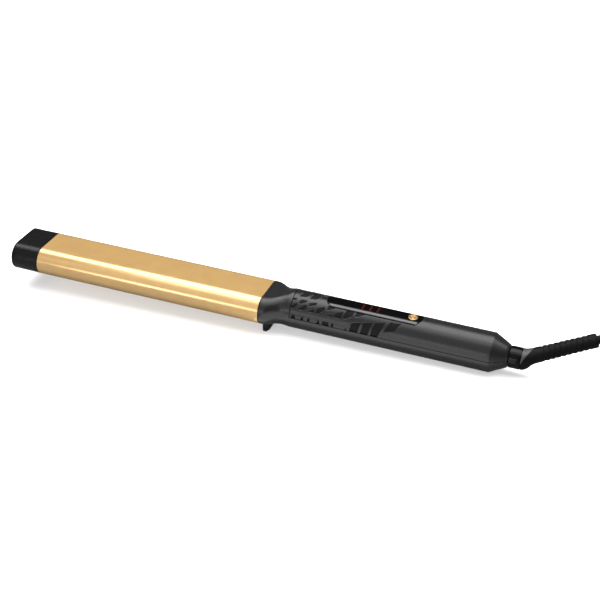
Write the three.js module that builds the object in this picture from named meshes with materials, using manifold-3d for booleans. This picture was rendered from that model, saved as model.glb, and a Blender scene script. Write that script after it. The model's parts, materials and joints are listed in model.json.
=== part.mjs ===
// Clampless oval curling wand, lying on its rest foot and on the tail of its handle.
// Millimetres, +Z up. The wand's own frame has its axis on X: x = 0 where the cool tip meets the
// barrel, +X towards the cord, +Z out of the barrel's upper flat. A group then pitches the wand.
import * as THREE from 'three';
import { mergeVertices } from 'three/addons/utils/BufferGeometryUtils.js';
import Module from 'manifold-3d';

const wasm = await Module();
wasm.setup();

// Driving dimensions, wand frame
const GAP = 0.3; // between pieces that touch
const TIP_END = -19.5;
const NECK_START = 160;
const NECK_END = 178;
const HANDLE_START = 179.5;
const CONE_START = 309;
const CONE_END = 319.5;
const COLLAR_END = 327.2;
const OVAL = { flat: 9.6, end: 9.36, height: 9.52 }; // half flat, end half-axis, half height
const BARREL_WALL = 1.2;
const NECK_WALL = 2;
const HANDLE_R = 12.7;
const HANDLE_WALL = 2.2;
const CONE_END_R = 7.15;
const TAIL_BORE_R = 5;

// Rest foot and attitude
const FOOT = { front: 160.7, toe: 161.6, heel: 164.3, rear: 168.6, halfWidth: 9.4, top: -8.2 };
const PITCH = THREE.MathUtils.degToRad(1.69); // tip end raised
const AXIS_RISE = CONE_START * Math.sin(PITCH) + HANDLE_R * Math.cos(PITCH);
const MID_X = 156.96; // middle of the wand's length, which stands over the origin

// Control panel
const PANEL = { front: 201.2, rear: 263.2, halfWidth: 6.4, topZ: 12.1, innerR: 10.6, outerR: 12.65 };
const TRIM = { front: 203.5, rear: 261, inner: 3.95, outer: 6, innerR: 11.5, outerR: 12.75 };
const BARS_X = { indicator_low: 224.5, indicator_mid: 229.5, indicator_high: 234.5 };
const BAR = { width: 1.3, length: 6.1, bottom: 10.9, top: 12.2 };
const BUTTON = { x: 257, r: 3.05, top: 12.75, flangeR: 3.9, flangeTop: 9.5, bottom: 8.6 };

// Circuit board, the switch that stands on it, and the screws
const PCB = { front: 200, rear: 270, halfWidth: 9.2, bottom: 2, top: 3.6 };
const SWITCH = { half: 3, bottom: PCB.top + GAP, top: 7.4, wellR: 2.1, wellZ: 5.9 };
const SCREWS_X = { case_screw_front: 190, case_screw_rear: 277 };
const SCREW = { shankR: 1.15, headR: 2.55, headLow: -12.1, headTop: -10.7, tip: -1, holeR: 1.45 };
const LOWER_BOSS = { r: 3.6, bottom: -11.8, top: -8 };
const UPPER_BOSS = { r: 2.8, bottom: -7.7, top: 11, holeTop: -0.5 };
const BOARD_BOXES = {
  film_capacitor: { x: [212, 226], y: [-6.5, 0.5], z: [-7.4, PCB.bottom - GAP], look: 'wire' },
  triac: { x: [232, 247], y: [-5, 5], z: [-2.8, PCB.bottom - GAP], look: 'tip' },
  controller_chip: { x: [240, 248], y: [-3, 3], z: [PCB.top + GAP, 5.2], look: 'tip' },
};
const LED = { half: 1, halfWidth: 0.8, top: PCB.top + 1.3 };
const PLUNGER = { r: 1.7, bottom: 6.6 };

// Inside the barrel: two heaters between spreaders, pressed apart by a wavy spring
const SPREADER = { start: 20, end: 135, halfWidth: 8.5, low: 6.4, high: 8, look: 'aluminium' };
const HEATER = { start: 26, end: 131, halfWidth: 7, low: 4.9, high: 6.1, look: 'ceramic' };
const TIE_ROD = { y: 13.4, r: 1.3, start: -17, end: 158 };
const THERMISTOR = { start: 132, end: 137, r: 1.1, z: 5.2 };
const FUSE = { start: 137.5, end: 147, r: 1.9 };
const INSULATOR = { start: 148, step: NECK_START - 0.5, end: 162.3, webStart: 152, webEnd: 155 };
const LEAD_WINDOW = { halfWidth: 8, half: 4.4 }; // hole in the insulator's web
const WIRE_R = 0.8;
const HEATER_LEAD = [[132.2, 5, 3], [150, 5, 2], [175, 6, 2.4], [199.6, 6, 2.8]];
const SUPPLY_LEAD = [[284.6, 3.6, -8.4], [280, 5.4, -6.4], [274.5, 6, 0.5], [271.4, 6, 2.6]];

// Swivel
const SPIGOT = { start: 284.5, r: 4.6, bore: 2.4, flangeR: 8, flangeStart: 300, flangeEnd: 302.5 };
const COLLAR_R = 7;
const RINGS_X = { live: 286, neutral: 292 };
const RING = { r: 6, width: 3 };
const CONTACT_BLOCK = { x: [285, 297], halfWidth: 4.5, z: [-9.3, -7.6] };
const ELBOW = { x: 327, r: 6.9, stubR: 5.15, rimTilt: 24, rimOffset: 2.4 };
const OUTLET_YAW = 20; // degrees from the wand's axis, away from the near side
const OUTLET_RISE = 19; // degrees above the wand's axis
const RELIEF = { start: 9, end: 47, startR: 4.95, endR: 4.55 };

// Cord, in the row's frame. The hank lies on its strap.
const CORD_D = 5.6;
const HANK = { near: 282, run: 95, midY: 3.6, turnR: 22.4, bottom: 0.85, layers: 3 };
const HANK_TOP = HANK.bottom + HANK.layers * CORD_D;
const CORD_ROUTE = [
  [212.3, 15.2, 26.4], [219.5, 17.8, 28.5], [227, 20.2, 29.4], [235, 22.4, 28.4],
  [243, 24, 25.2], [250, 25, 21], [257, 25.6, 16], [264, 25.9, 11.2],
];
const PLUG_ROUTE = [
  [364, -13.2, 21.6], [356, -13.2, 21.6], [348, -12.65, 21.7], [342, -11.2, 21.95], [336, -9.15, 22.5],
  [330, -6.8, 23.2], [324, -4.45, 23.9], [318, -2.4, 24.5], [312, -0.95, 24.75], [306.8, -0.4, 24.8],
];
const PLUG = { rear: 306, front: 268.4, y: -0.4, z: 24.8, height: 13.6, halfWidth: 17, cableHalf: 6.5 };
const PIN = { r: 2, length: 19, pitch: 18.6 };
const TIE = { x0: 352, x1: 358, thick: 0.5 };

// Colour, roughness and metalness of each look
const COLOURS = {
  gold: [0xc9a26c, 0.22, 1],
  tip: [0x1c1c1c, 0.55, 0],
  shell: [0x353536, 0.6, 0],
  gloss: [0x050505, 0.08, 0],
  plated: [0xb4b4b6, 0.25, 1],
  red: [0x4a1a1a, 0.3, 0],
  rubber: [0x0d0d0d, 0.75, 0],
  dome: [0x3c3c3e, 0.35, 0],
  aluminium: [0xb9bcc0, 0.4, 1],
  ceramic: [0xd9d4c8, 0.6, 0],
  steel: [0x9a9da1, 0.35, 1],
  brass: [0xb8903e, 0.3, 1],
  board: [0x1f5a35, 0.5, 0],
  insulator: [0x55473a, 0.7, 0],
  wire: [0x8a1f1b, 0.5, 0],
  glass: [0xd8c9a8, 0.2, 0],
};

// ---- geometry helpers ----

function solidOf(geometry) {
  const bare = geometry.clone();
  bare.deleteAttribute('normal');
  bare.deleteAttribute('uv');
  const merged = mergeVertices(bare, 1e-4);
  return new wasm.Manifold(new wasm.Mesh({
    numProp: 3,
    vertProperties: new Float32Array(merged.attributes.position.array),
    triVerts: new Uint32Array(merged.index.array),
  }));
}

function geometryOf(solid) {
  const mesh = solid.getMesh();
  const geometry = new THREE.BufferGeometry();
  geometry.setAttribute('position', new THREE.BufferAttribute(new Float32Array(mesh.vertProperties), 3));
  geometry.setIndex(new THREE.BufferAttribute(new Uint32Array(mesh.triVerts), 1));
  geometry.computeVertexNormals();
  return geometry;
}

// Skin over rings of points. Rings run towards +X outside and towards -X inside.
function skin(rings, closed = false) {
  const count = rings[0].length;
  const points = rings.flat();
  const faces = [];
  const last = closed ? rings.length : rings.length - 1;
  for (let i = 0; i < last; i += 1) {
    const here = i * count;
    const next = ((i + 1) % rings.length) * count;
    for (let j = 0; j < count; j += 1) {
      const k = (j + 1) % count;
      faces.push(here + j, here + k, next + k, here + j, next + k, next + j);
    }
  }
  if (!closed) {
    const middle = (ring) => ring.reduce((sum, p) => sum.add(p), new THREE.Vector3()).divideScalar(count);
    const end = (rings.length - 1) * count;
    points.push(middle(rings[0]), middle(rings.at(-1)));
    for (let j = 0; j < count; j += 1) {
      const k = (j + 1) % count;
      faces.push(points.length - 2, k, j, points.length - 1, end + j, end + k);
    }
  }
  const geometry = new THREE.BufferGeometry().setFromPoints(points);
  geometry.setIndex(faces);
  geometry.computeVertexNormals();
  return geometry;
}

// Oval section at x: a flat of half width flat between two half ellipses.
function oval(x, flat, end, height, steps = 17) {
  const ring = [];
  for (const side of [1, -1]) {
    for (let i = 0; i <= steps; i += 1) {
      const angle = side * Math.PI * (i / steps - 0.5);
      ring.push(new THREE.Vector3(x, side * (flat + end * Math.cos(angle)), height * Math.sin(angle)));
    }
  }
  return ring;
}

const inset = (x, by, section = OVAL) => oval(x, section.flat, section.end - by, section.height - by);

function box(x0, x1, y0, y1, z0, z1) {
  const geometry = new THREE.BoxGeometry(x1 - x0, y1 - y0, z1 - z0);
  return geometry.translate((x0 + x1) / 2, (y0 + y1) / 2, (z0 + z1) / 2);
}

// Solid of revolution about X from [radius, x] points; the profile closes on itself.
function turned(profile, segments = 48) {
  const points = [...profile, profile[0]].map(([r, x]) => new THREE.Vector2(r, x));
  return new THREE.LatheGeometry(points, segments).rotateZ(-Math.PI / 2);
}

function rodX(x0, x1, r, y = 0, z = 0, segments = 16) {
  const geometry = new THREE.CylinderGeometry(r, r, x1 - x0, segments);
  return geometry.rotateZ(-Math.PI / 2).translate((x0 + x1) / 2, y, z);
}

function rodZ(x, y, z0, z1, r, segments = 24) {
  const geometry = new THREE.CylinderGeometry(r, r, z1 - z0, segments);
  return geometry.rotateX(Math.PI / 2).translate(x, y, (z0 + z1) / 2);
}

// Plan outline in x, y raised from z0 to z1.
function raised(outline, z0, z1) {
  const shape = new THREE.Shape(outline.map(([x, y]) => new THREE.Vector2(x, y)));
  return new THREE.ExtrudeGeometry(shape, { depth: z1 - z0, bevelEnabled: false }).translate(0, 0, z0);
}

// Side outline in x, z drawn out in y from -half to half.
function side(outline, half, midY = 0) {
  const shape = new THREE.Shape(outline.map(([x, z]) => new THREE.Vector2(x, z)));
  const options = { depth: 2 * half, bevelEnabled: false, curveSegments: 8 };
  const geometry = new THREE.ExtrudeGeometry(shape, options);
  return geometry.rotateX(Math.PI / 2).translate(0, midY + half, 0);
}

// Round wire or cord along points.
function strand(points, r, steps, sides = 8) {
  const path = new THREE.CatmullRomCurve3(points.map((p) => new THREE.Vector3(...p)));
  const section = new THREE.Shape();
  for (let i = 0; i < sides; i += 1) {
    const angle = (2 * Math.PI * i) / sides;
    const at = [r * Math.cos(angle), r * Math.sin(angle)];
    if (i === 0) section.moveTo(...at);
    else section.lineTo(...at);
  }
  return new THREE.ExtrudeGeometry(section, { extrudePath: path, steps, bevelEnabled: false });
}

const SMOOTH = (t) => THREE.MathUtils.smoothstep(t, 0, 1);

// ---- barrel end ----

function coolTip() {
  const wall = 2;
  const rings = [inset(TIP_END, 1.6), inset(TIP_END + 0.3, 0.75), inset(TIP_END + 0.9, 0.2)];
  rings.push(inset(TIP_END + 1.8, 0), inset(-GAP / 2, 0));
  rings.push(inset(-GAP / 2, BARREL_WALL + GAP), inset(6, BARREL_WALL + GAP));
  rings.push(inset(6, BARREL_WALL + wall), inset(TIP_END + wall, BARREL_WALL + wall));
  return skin(rings);
}

function barrel() {
  const from = GAP / 2;
  const to = NECK_START - GAP / 2;
  return skin([inset(from, 0), inset(to, 0), inset(to, BARREL_WALL), inset(from, BARREL_WALL)], true);
}

function springClip() {
  const [x0, x1, swing, thick] = [36, 120, 4.1, 0.5];
  const waves = 3;
  const steps = 36;
  const wave = (i, offset) => {
    const t = i / steps;
    return [x0 + (x1 - x0) * t, swing * Math.sin(2 * Math.PI * waves * t) + offset];
  };
  const upper = Array.from({ length: steps + 1 }, (_, i) => wave(steps - i, thick / 2));
  const lower = Array.from({ length: steps + 1 }, (_, i) => wave(i, -thick / 2));
  return side([...lower, ...upper], 5);
}

function barrelInsulator() {
  const { start, step, end, webStart, webEnd } = INSULATOR;
  const outer = BARREL_WALL + GAP;
  const ring = skin([
    inset(start, outer), inset(step, outer), inset(step, outer + 0.8), inset(end, outer + 0.8),
    inset(end, outer + 2.3), inset(start, outer + 2.3),
  ], true);
  const web = skin([inset(webStart, outer + 1.5), inset(webEnd, outer + 1.5)]);
  const through = [webStart - 2, webEnd + 2];
  const { halfWidth, half } = LEAD_WINDOW;
  let solid = solidOf(ring).add(solidOf(web));
  solid = solid.subtract(solidOf(box(...through, -halfWidth, halfWidth, -half, half)));
  for (const y of [-TIE_ROD.y, TIE_ROD.y]) {
    solid = solid.subtract(solidOf(rodX(...through, TIE_ROD.r + GAP, y)));
  }
  return geometryOf(solid);
}

// ---- handle ----

// Neck section: the barrel's oval, drawn in to the round of the handle.
function neckRing(x, wall) {
  const t = THREE.MathUtils.clamp((x - 162) / (NECK_END - 162), 0, 1);
  const round = SMOOTH(t * t);
  const flat = Math.max(OVAL.flat * (1 - SMOOTH(t)), 0.05);
  const end = THREE.MathUtils.lerp(OVAL.end, HANDLE_R, round) - wall;
  const height = THREE.MathUtils.lerp(OVAL.height, HANDLE_R, round) - wall;
  return oval(x, flat, end, height);
}

function neck() {
  const stations = [162, 164, 166, 168, 170, 172, 173.5, 175, 176.5, 178];
  stations.unshift(NECK_START + GAP / 2);
  stations.push(HANDLE_START - GAP / 2);
  const outer = stations.map((x) => neckRing(x, 0));
  const inner = stations.map((x) => neckRing(x, NECK_WALL)).reverse();
  return skin([...outer, ...inner], true);
}

function handleShell(from) {
  const inner = HANDLE_R - HANDLE_WALL;
  return turned([
    [HANDLE_R, from], [HANDLE_R, CONE_START], [CONE_END_R, CONE_END], [TAIL_BORE_R, CONE_END],
    [TAIL_BORE_R, 308], [inner, 305], [inner, from],
  ]);
}

// The foot's sole lies in the plane that the wand rests on.
const soleZ = (x) => -HANDLE_R - (CONE_START - x) * Math.tan(PITCH);

function restFoot() {
  const { front, toe, heel, rear, halfWidth, top } = FOOT;
  const outline = [[front, top], [front + 0.25, soleZ(front) + 1.6], [toe, soleZ(toe)], [heel, soleZ(heel)]];
  outline.push([heel + 1, soleZ(heel) + 0.9], [rear, top]);
  return side(outline.reverse(), halfWidth);
}

function handleBody() {
  const lower = box(HANDLE_START - 1.5, CONE_END + 1, -20, 20, -20, -GAP / 2);
  let solid = solidOf(handleShell(HANDLE_START - 1.5)).intersect(solidOf(lower));
  solid = solid.add(solidOf(neck())).add(solidOf(restFoot()).subtract(solidOf(neckCavity())));
  for (const x of Object.values(SCREWS_X)) {
    solid = solid.add(solidOf(rodZ(x, 0, LOWER_BOSS.bottom, LOWER_BOSS.top, LOWER_BOSS.r)));
    solid = solid.subtract(solidOf(rodZ(x, 0, -14, -7, SCREW.holeR, 16)));
    solid = solid.subtract(solidOf(rodZ(x, 0, -14, SCREW.headTop + GAP, SCREW.headR + GAP)));
  }
  return geometryOf(solid);
}

function neckCavity() {
  return skin([neckRing(NECK_START - 1, NECK_WALL), neckRing(164, NECK_WALL), neckRing(170, NECK_WALL)]);
}

const panelPlan = (grow) => {
  const { front, rear, halfWidth } = PANEL;
  const w = halfWidth + grow;
  return [
    [front - grow, -2], [front + 1.9 - grow, -4.1 - grow], [front + 5.4 - grow / 2, -w], [rear - 2.6, -w],
    [rear - 0.5 + grow, -4.2], [rear + grow, -2], [rear + grow, 2], [rear - 0.5 + grow, 4.2], [rear - 2.6, w],
    [front + 5.4 - grow / 2, w], [front + 1.9 - grow, 4.1 + grow], [front - grow, 2],
  ];
};

const trimPlan = (sign, grow) => {
  const { front, rear, inner, outer } = TRIM;
  const plan = [
    [front - 2 * grow, inner - grow], [rear - 0.5 + grow, inner - grow], [rear + grow, inner + 0.6],
    [rear + grow, outer - 0.6], [rear - 0.8 + grow, outer + grow], [front + 3.6 - grow, outer + grow],
  ].map(([x, y]) => [x, sign * y]);
  return sign > 0 ? plan : plan.reverse();
};

const CUT_LOW = 6; // cuts for the panel run between these heights
const CUT_TOP = 15;

const shellBand = (innerR, outerR, x0, x1) =>
  solidOf(turned([[outerR, x0], [outerR, x1], [innerR, x1], [innerR, x0]], 64));

function handleCover() {
  const upper = box(HANDLE_START + GAP / 2, CONE_END + 1, -20, 20, GAP / 2, 20);
  let solid = solidOf(handleShell(HANDLE_START)).intersect(solidOf(upper));
  for (const x of Object.values(SCREWS_X)) {
    const { r, bottom, top, holeTop } = UPPER_BOSS;
    solid = solid.add(solidOf(rodZ(x, 0, bottom, top, r)));
    solid = solid.subtract(solidOf(rodZ(x, 0, bottom - 1, holeTop, SCREW.holeR, 16)));
  }
  return geometryOf(solid.subtract(solidOf(raised(panelPlan(GAP), CUT_LOW, CUT_TOP))));
}

function controlPanel() {
  const span = [PANEL.front - 2, PANEL.rear + 2];
  let solid = shellBand(PANEL.innerR, PANEL.outerR, ...span);
  solid = solid.intersect(solidOf(raised(panelPlan(0), CUT_LOW, PANEL.topZ)));
  for (const sign of [1, -1]) {
    const groove = solidOf(raised(trimPlan(sign, GAP), CUT_LOW, CUT_TOP));
    solid = solid.subtract(groove.intersect(shellBand(TRIM.innerR - GAP, CUT_TOP, ...span)));
  }
  const w = BAR.width / 2 + GAP;
  const l = BAR.length / 2 + GAP;
  for (const x of Object.values(BARS_X)) {
    solid = solid.subtract(solidOf(box(x - w, x + w, -l, l, CUT_LOW, CUT_TOP)));
  }
  return geometryOf(solid.subtract(solidOf(rodZ(BUTTON.x, 0, CUT_LOW, CUT_TOP, BUTTON.r + GAP))));
}

function panelTrim(sign) {
  const band = shellBand(TRIM.innerR, TRIM.outerR, PANEL.front - 2, PANEL.rear + 2);
  return geometryOf(band.intersect(solidOf(raised(trimPlan(sign, 0), CUT_LOW, CUT_TOP))));
}

function powerButton() {
  const cap = solidOf(rodZ(BUTTON.x, 0, BUTTON.flangeTop - 0.5, BUTTON.top, BUTTON.r));
  return geometryOf(cap.add(solidOf(rodZ(BUTTON.x, 0, BUTTON.bottom, BUTTON.flangeTop, BUTTON.flangeR))));
}

function tactSwitch() {
  const { half, bottom, top, wellR, wellZ } = SWITCH;
  const body = solidOf(box(BUTTON.x - half, BUTTON.x + half, -half, half, bottom, top));
  return geometryOf(body.subtract(solidOf(rodZ(BUTTON.x, 0, wellZ, 9, wellR))));
}

function caseScrew(x) {
  const head = solidOf(rodZ(x, 0, SCREW.headLow, SCREW.headTop, SCREW.headR));
  return geometryOf(head.add(solidOf(rodZ(x, 0, SCREW.headTop - 0.3, SCREW.tip, SCREW.shankR, 12))));
}

// ---- swivel ----

function swivelCollar() {
  const { start, r, bore, flangeR, flangeStart, flangeEnd } = SPIGOT;
  return turned([
    [r, start], [r, flangeStart], [flangeR, flangeStart], [flangeR, flangeEnd], [r, flangeEnd],
    [r, CONE_END + GAP], [COLLAR_R, CONE_END + GAP], [COLLAR_R, COLLAR_END],
    [bore, COLLAR_END], [bore, start],
  ]);
}

function slipRing(x) {
  const inner = SPIGOT.r + GAP;
  return turned([[RING.r, x], [RING.r, x + RING.width], [inner, x + RING.width], [inner, x]]);
}

function contactSpring(x) {
  const shape = new THREE.Shape();
  shape.moveTo(-4, -7.25);
  shape.quadraticCurveTo(0, -5.8, 4, -7.25);
  shape.lineTo(4, -6.9);
  shape.quadraticCurveTo(0, -5.45, -4, -6.9);
  const geometry = new THREE.ExtrudeGeometry(shape, { depth: 2, bevelEnabled: false, curveSegments: 6 });
  geometry.rotateX(Math.PI / 2).rotateZ(Math.PI / 2);
  return geometry.translate(x + 0.5, 0, 0);
}

const yaw = THREE.MathUtils.degToRad(OUTLET_YAW);
const rise = THREE.MathUtils.degToRad(OUTLET_RISE);
const OUTLET = new THREE.Vector3(
  Math.cos(rise) * Math.cos(yaw),
  Math.cos(rise) * Math.sin(yaw),
  Math.sin(rise),
);
const ELBOW_CENTRE = new THREE.Vector3(ELBOW.x, 0, 0);

// Round piece along the outlet from [radius, distance] points.
function outletPiece(profile, segments = 32) {
  const points = profile.map(([r, t]) => new THREE.Vector2(r, t));
  const geometry = new THREE.LatheGeometry(points, segments);
  const turn = new THREE.Quaternion().setFromUnitVectors(new THREE.Vector3(0, 1, 0), OUTLET);
  return geometry.applyQuaternion(turn).translate(ELBOW.x, 0, 0);
}

// Ball and stub of the elbow, cut off behind the collar's end face.
function elbowWhole() {
  const sphere = new THREE.SphereGeometry(ELBOW.r, 32, 20).rotateX(Math.PI / 2);
  const ball = solidOf(sphere.translate(ELBOW.x, 0, 0));
  const stub = solidOf(outletPiece([[0, 0], [ELBOW.stubR + 0.5, 0], [ELBOW.stubR, 12], [0, 12]]));
  return ball.add(stub).intersect(solidOf(box(COLLAR_END + GAP, 400, -30, 30, -30, 30)));
}

// Block on the cord's side of the rim plane, moved on by shift.
function pastRim(shift) {
  const tilt = THREE.MathUtils.degToRad(ELBOW.rimTilt);
  const across = new THREE.Vector3(0, OUTLET.y, OUTLET.z).normalize();
  const normal = new THREE.Vector3(Math.cos(tilt), 0, 0).addScaledVector(across, -Math.sin(tilt));
  const block = box(-50, 50, -50, 50, 0, 100);
  block.applyQuaternion(new THREE.Quaternion().setFromUnitVectors(new THREE.Vector3(0, 0, 1), normal));
  const at = ELBOW_CENTRE.clone().addScaledVector(normal, ELBOW.rimOffset + shift);
  return solidOf(block.translate(at.x, at.y, at.z));
}

const swivelElbow = () => geometryOf(elbowWhole().subtract(pastRim(-GAP / 2)));

function strainRelief() {
  const { start, end, startR, endR } = RELIEF;
  const lip = 0.8;
  const profile = [[0, start], [startR, start], [endR, end - lip], [endR - lip, end], [0, end]];
  return geometryOf(elbowWhole().add(solidOf(outletPiece(profile))).intersect(pastRim(GAP / 2)));
}

// ---- cord ----

function roundEnded(nearX, run, midY, r, z0, z1) {
  const shape = new THREE.Shape();
  shape.absarc(nearX + run, midY, r, -Math.PI / 2, Math.PI / 2);
  shape.absarc(nearX, midY, r, Math.PI / 2, 1.5 * Math.PI);
  shape.closePath();
  const options = { depth: z1 - z0, bevelEnabled: false, curveSegments: 16 };
  return new THREE.ExtrudeGeometry(shape, options).translate(0, 0, z0);
}

function cordHank() {
  return roundEnded(HANK.near, HANK.run, HANK.midY, HANK.turnR + CORD_D / 2, HANK.bottom, HANK_TOP);
}

// Strap round both runs of the hank.
function hankTie() {
  const inner = HANK.turnR + CORD_D / 2 + GAP;
  const outer = inner + TIE.thick;
  const low = HANK.bottom - GAP;
  const high = HANK_TOP + GAP;
  const band = box(TIE.x0, TIE.x1, HANK.midY - outer, HANK.midY + outer, low - TIE.thick, high + TIE.thick);
  const hole = box(TIE.x0 - 1, TIE.x1 + 1, HANK.midY - inner, HANK.midY + inner, low, high);
  return geometryOf(solidOf(band).subtract(solidOf(hole)));
}

// Flat two-pin plug, its pins towards the wand.
function plugBody() {
  const { rear, front, y, z, height, halfWidth, cableHalf } = PLUG;
  const plan = [
    [front, -halfWidth], [front + 12, -halfWidth], [rear - 6, -cableHalf], [rear, -cableHalf + 1.5],
    [rear, cableHalf - 1.5], [rear - 6, cableHalf], [front + 12, halfWidth], [front, halfWidth],
  ];
  return raised(plan, z - height / 2, z + height / 2).translate(0, y, 0);
}

const plugPin = (sign) =>
  rodX(PLUG.front - GAP - PIN.length, PLUG.front - GAP, PIN.r, PLUG.y + (sign * PIN.pitch) / 2, PLUG.z, 16);

// ---- assembly ----

const wand = new THREE.Group();
wand.rotation.y = PITCH;
wand.position.set(-MID_X, 0, AXIS_RISE);
const lead = new THREE.Group();

function add(group, name, geometry, look) {
  const [color, roughness, metalness] = COLOURS[look];
  const mesh = new THREE.Mesh(geometry, new THREE.MeshStandardMaterial({ color, roughness, metalness }));
  mesh.name = name;
  group.add(mesh);
}

add(wand, 'cool_tip', coolTip(), 'tip');
add(wand, 'barrel', barrel(), 'gold');
for (const [place, sign] of [['upper', 1], ['lower', -1]]) {
  for (const [name, size] of [['heat_spreader', SPREADER], ['ceramic_heater', HEATER]]) {
    const [low, high] = [sign * size.low, sign * size.high].sort((a, b) => a - b);
    const plate = box(size.start, size.end, -size.halfWidth, size.halfWidth, low, high);
    add(wand, `${name}_${place}`, plate, size.look);
  }
}
add(wand, 'spring_clip', springClip(), 'steel');
const thermistor = rodX(THERMISTOR.start, THERMISTOR.end, THERMISTOR.r, 0, THERMISTOR.z, 12);
add(wand, 'thermistor', thermistor, 'glass');
add(wand, 'thermal_fuse', rodX(FUSE.start, FUSE.end, FUSE.r), 'aluminium');
for (const [place, y] of [['near', -TIE_ROD.y], ['far', TIE_ROD.y]]) {
  add(wand, `tie_rod_${place}`, rodX(TIE_ROD.start, TIE_ROD.end, TIE_ROD.r, y), 'steel');
}
add(wand, 'barrel_insulator', barrelInsulator(), 'insulator');
for (const [name, sign] of [['live', -1], ['neutral', 1]]) {
  const line = HEATER_LEAD.map(([x, y, z]) => [x, sign * y, z]);
  add(wand, `heater_lead_${name}`, strand(line, WIRE_R, 16), 'wire');
}

add(wand, 'handle_body', handleBody(), 'shell');
add(wand, 'handle_cover', handleCover(), 'shell');
add(wand, 'control_panel', controlPanel(), 'gloss');
add(wand, 'panel_trim_near', panelTrim(-1), 'plated');
add(wand, 'panel_trim_far', panelTrim(1), 'plated');
for (const [name, x] of Object.entries(BARS_X)) {
  const [w, l] = [BAR.width / 2, BAR.length / 2];
  add(wand, name, box(x - w, x + w, -l, l, BAR.bottom, BAR.top), 'red');
  const { half, halfWidth, top } = LED;
  const led = box(x - half, x + half, -halfWidth, halfWidth, PCB.top + GAP, top);
  add(wand, name.replace('indicator', 'led'), led, 'glass');
}
add(wand, 'power_button', powerButton(), 'gold');
const plunger = rodZ(BUTTON.x, 0, PLUNGER.bottom, BUTTON.bottom - GAP, PLUNGER.r);
add(wand, 'switch_plunger', plunger, 'tip');
add(wand, 'tact_switch', tactSwitch(), 'steel');
add(wand, 'pcb', box(PCB.front, PCB.rear, -PCB.halfWidth, PCB.halfWidth, PCB.bottom, PCB.top), 'board');
for (const [name, { x, y, z, look }] of Object.entries(BOARD_BOXES)) {
  add(wand, name, box(...x, ...y, ...z), look);
}
for (const [name, x] of Object.entries(SCREWS_X)) add(wand, name, caseScrew(x), 'steel');

const { x: blockX, halfWidth: blockHalf, z: blockZ } = CONTACT_BLOCK;
add(wand, 'contact_block', box(...blockX, -blockHalf, blockHalf, ...blockZ), 'insulator');
for (const [name, sign] of [['live', -1], ['neutral', 1]]) {
  add(wand, `contact_spring_${name}`, contactSpring(RINGS_X[name]), 'brass');
  add(wand, `slip_ring_${name}`, slipRing(RINGS_X[name]), 'brass');
  const line = SUPPLY_LEAD.map(([x, y, z]) => [x, sign * y, z]);
  add(wand, `supply_lead_${name}`, strand(line, WIRE_R, 14), 'wire');
}
add(wand, 'swivel_collar', swivelCollar(), 'gloss');
add(wand, 'swivel_elbow', swivelElbow(), 'dome');
add(wand, 'strain_relief', strainRelief(), 'rubber');

add(lead, 'power_cord', strand(CORD_ROUTE, CORD_D / 2, 12, 10), 'rubber');
add(lead, 'cord_hank', cordHank(), 'rubber');
add(lead, 'hank_tie', hankTie(), 'gloss');
add(lead, 'plug_lead', strand(PLUG_ROUTE, CORD_D / 2, 8, 10), 'rubber');
add(lead, 'plug_body', plugBody(), 'tip');
add(lead, 'plug_pin_live', plugPin(-1), 'steel');
add(lead, 'plug_pin_neutral', plugPin(1), 'steel');

const curlingWand = new THREE.Group();
curlingWand.add(wand, lead);

export default curlingWand;
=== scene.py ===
import json
import math

import bmesh
import bpy
import numpy as np
from mathutils import Matrix, Vector


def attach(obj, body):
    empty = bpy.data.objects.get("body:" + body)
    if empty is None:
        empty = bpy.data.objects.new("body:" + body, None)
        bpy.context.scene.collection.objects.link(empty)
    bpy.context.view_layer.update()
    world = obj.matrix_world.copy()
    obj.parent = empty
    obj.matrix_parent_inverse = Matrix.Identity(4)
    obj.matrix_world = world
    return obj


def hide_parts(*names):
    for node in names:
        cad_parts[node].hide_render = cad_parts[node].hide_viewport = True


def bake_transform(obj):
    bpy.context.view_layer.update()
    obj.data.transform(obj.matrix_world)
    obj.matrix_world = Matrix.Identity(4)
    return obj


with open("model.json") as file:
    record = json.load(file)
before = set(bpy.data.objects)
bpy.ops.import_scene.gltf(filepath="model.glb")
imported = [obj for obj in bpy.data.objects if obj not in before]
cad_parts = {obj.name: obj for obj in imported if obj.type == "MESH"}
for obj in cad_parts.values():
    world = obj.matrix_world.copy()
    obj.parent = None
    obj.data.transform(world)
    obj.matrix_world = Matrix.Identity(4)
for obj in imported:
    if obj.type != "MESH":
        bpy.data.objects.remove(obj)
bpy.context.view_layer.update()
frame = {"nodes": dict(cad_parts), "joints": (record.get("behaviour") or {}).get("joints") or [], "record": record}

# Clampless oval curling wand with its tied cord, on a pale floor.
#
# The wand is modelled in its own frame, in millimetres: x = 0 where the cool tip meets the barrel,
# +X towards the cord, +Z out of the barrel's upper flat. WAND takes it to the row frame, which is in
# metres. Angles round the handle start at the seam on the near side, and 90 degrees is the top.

MM = 0.001
GAP = 0.3  # between pieces that touch

# ---- the wand's frame, from the joint that the cord turns on ----

ELBOW_X = 327.0
joints = {joint["name"]: joint for joint in frame["joints"]}
wand_x = Vector(joints["cord_swivel"]["axis"]).normalized()
wand_y = Vector((0, 1, 0))
wand_z = wand_x.cross(wand_y)
wand_origin = Vector(joints["cord_swivel"]["pos_m"]) - wand_x * ELBOW_X * MM
wand_turn = Matrix((wand_x, wand_y, wand_z)).transposed().to_4x4()
WAND = Matrix.Translation(wand_origin) @ wand_turn @ Matrix.Scale(MM, 4)
ROW = Matrix.Scale(MM, 4)  # the row frame, written in millimetres


def cad_box(node, place=WAND):
    """Lowest and highest corner of a CAD node, in millimetres, in the wand's frame or the row's."""
    back = place.inverted()
    points = np.array([back @ v.co for v in frame["nodes"][node].data.vertices])
    return Vector(points.min(0)), Vector(points.max(0))


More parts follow.
